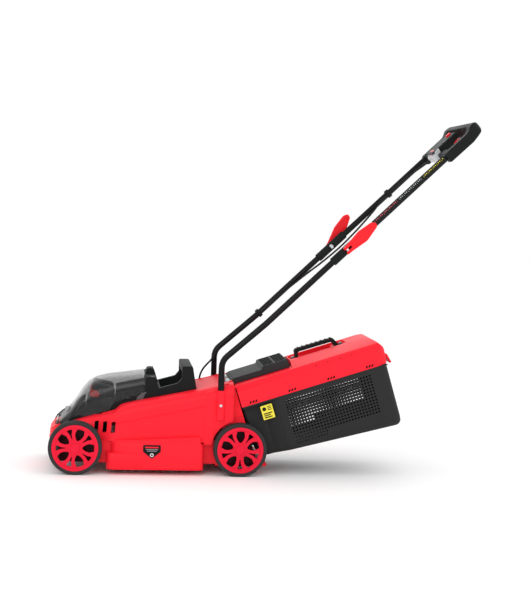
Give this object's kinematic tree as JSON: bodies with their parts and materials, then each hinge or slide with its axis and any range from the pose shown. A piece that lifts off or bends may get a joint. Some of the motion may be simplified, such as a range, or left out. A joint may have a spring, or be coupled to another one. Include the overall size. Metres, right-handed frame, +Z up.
{
  "type": "push lawn mower",
  "caption": "Battery push lawn mower with a red deck, smoked hood over two batteries, rear grass catcher and a folding tubular handle with clamp levers.",
  "frame": {"origin": "centre of the bounding box on the ground, under the machine", "axes": "+X from the nose back towards the handle grip, +Y to the right-hand side as one pushes it, +Z up"},
  "size_m": [1.2764, 0.39, 1.0832],
  "materials": {
    "deck_red": "satin gloss",
    "rim_red": "satin",
    "accent_red": "satin",
    "tyre": "matte, ribbed",
    "black_plastic": "fine grain",
    "dark_plastic": "fine grain",
    "painted_tube": "gloss powder coat",
    "rubber_black": "matte",
    "smoked_clear": "clear, smoked",
    "grey_plastic": "satin",
    "motor_metal": "painted",
    "steel": "zinc plated"
  },
  "bodies": {
    "deck": {"deck_housing": "deck_red", "top_cover": "black_plastic", "battery_left": "dark_plastic", "battery_right": "dark_plastic", "controller_box": "grey_plastic", "motor": "motor_metal", "motor_screws": "steel", "front_axle": "steel", "rear_axle": "steel", "axle_nuts": "steel", "axle_brackets": "steel", "lower_tube_left": "painted_tube", "lower_tube_right": "painted_tube", "lower_sleeves": "black_plastic", "socket_screws": "steel", "pivot_bolts": "steel", "lever_pins": "steel", "lower_cable": "rubber_black", "lower_cable_clip": "black_plastic", "cover_screws": "steel", "flap_pin": "steel", "flap_spring": "steel", "cover_hinge_pin": "steel"},
    "wheel_front_left": {"rim_front_left": "rim_red", "tyre_front_left": "tyre", "cap_front_left": "rim_red"},
    "wheel_front_right": {"rim_front_right": "rim_red", "tyre_front_right": "tyre", "cap_front_right": "rim_red"},
    "wheel_rear_left": {"rim_rear_left": "rim_red", "tyre_rear_left": "tyre", "cap_rear_left": "rim_red"},
    "wheel_rear_right": {"rim_rear_right": "rim_red", "tyre_rear_right": "tyre", "cap_rear_right": "rim_red"},
    "blade_set": {"blade_carrier": "black_plastic", "blade": "steel", "blade_bolt": "steel"},
    "flap": {"rear_flap": "black_plastic"},
    "hood": {"battery_cover": "smoked_clear"},
    "hood_latch": {"cover_latch": "black_plastic"},
    "battery_release_left": {"battery_button_left": "accent_red"},
    "battery_release_right": {"battery_button_right": "accent_red"},
    "catcher": {"catcher_lid": "deck_red", "catcher_basket": "dark_plastic", "catcher_handle": "black_plastic", "catcher_feet": "grey_plastic"},
    "upper_handle": {"upper_tube_left": "painted_tube", "upper_tube_right": "painted_tube", "upper_sleeves": "black_plastic", "tube_wrap": "rubber_black", "handle_loop": "black_plastic", "switch_box": "black_plastic", "switch_panel": "grey_plastic", "upper_cable": "rubber_black", "upper_cable_clip": "black_plastic"},
    "clamp_lever_left": {"lever_left": "accent_red"},
    "clamp_lever_right": {"lever_right": "accent_red"},
    "trigger": {"trigger_bar": "accent_red"},
    "lock": {"lock_button": "accent_red"}
  },
  "joints": [
    {"name": "wheel_front_left_roll", "type": "hinge", "parent": "deck", "child": "wheel_front_left", "pos_m": [-0.55807, 0, 0.08], "axis": [0, 1, 0], "continuous": true},
    {"name": "wheel_front_right_roll", "type": "hinge", "parent": "deck", "child": "wheel_front_right", "pos_m": [-0.55807, 0, 0.08], "axis": [0, 1, 0], "continuous": true},
    {"name": "wheel_rear_left_roll", "type": "hinge", "parent": "deck", "child": "wheel_rear_left", "pos_m": [-0.06607, 0, 0.08], "axis": [0, 1, 0], "continuous": true},
    {"name": "wheel_rear_right_roll", "type": "hinge", "parent": "deck", "child": "wheel_rear_right", "pos_m": [-0.06607, 0, 0.08], "axis": [0, 1, 0], "continuous": true},
    {"name": "blade_spin", "type": "hinge", "parent": "deck", "child": "blade_set", "pos_m": [-0.32107, 0, 0.042], "axis": [0, 0, 1], "continuous": true},
    {"name": "flap_lift", "type": "hinge", "parent": "deck", "child": "flap", "pos_m": [-0.0964, 0, 0.26635], "axis": [0, -1, 0], "range_deg": [0, 70], "stiffness_Nm_per_rad": 0.25, "springref_deg": -22.92},
    {"name": "hood_lift", "type": "hinge", "parent": "deck", "child": "hood", "pos_m": [-0.61507, 0, 0.142], "axis": [0, -1, 0], "range_deg": [0, 95]},
    {"name": "hood_latch_pull", "type": "slide", "parent": "deck", "child": "hood_latch", "axis": [1, 0, 0], "range_m": [0, 0.004], "stiffness_N_per_m": 500, "springref_m": -0.002},
    {"name": "battery_release_left_press", "type": "slide", "parent": "deck", "child": "battery_release_left", "axis": [0.9744, 0, -0.225], "range_m": [0, 0.0015], "stiffness_N_per_m": 500, "springref_m": -0.001},
    {"name": "battery_release_right_press", "type": "slide", "parent": "deck", "child": "battery_release_right", "axis": [0.9744, 0, -0.225], "range_m": [0, 0.0015], "stiffness_N_per_m": 500, "springref_m": -0.001},
    {"name": "catcher_pull", "type": "slide", "parent": "deck", "child": "catcher", "axis": [0.9511, 0, 0.309], "range_m": [0, 0.3]},
    {"name": "handle_fold", "type": "hinge", "parent": "deck", "child": "upper_handle", "pos_m": [0.23893, 0, 0.689], "axis": [0, -1, 0], "range_deg": [0, 152]},
    {"name": "clamp_left_open", "type": "hinge", "parent": "deck", "child": "clamp_lever_left", "pos_m": [0.23893, -0.1862, 0.689], "axis": [0.6959, 0, -0.7181], "range_deg": [0, 110]},
    {"name": "clamp_right_open", "type": "hinge", "parent": "deck", "child": "clamp_lever_right", "pos_m": [0.23893, 0.1862, 0.689], "axis": [-0.8755, 0, 0.4833], "range_deg": [0, 110]},
    {"name": "trigger_squeeze", "type": "hinge", "parent": "upper_handle", "child": "trigger", "pos_m": [0.61287, 0, 1.03884], "axis": [0, 1, 0], "range_deg": [0, 22], "stiffness_Nm_per_rad": 0.5, "springref_deg": -20.05},
    {"name": "lock_press", "type": "slide", "parent": "upper_handle", "child": "lock", "axis": [0.6959, 0, -0.7181], "range_m": [0, 0.004], "stiffness_N_per_m": 400, "springref_m": -0.001}
  ]
}
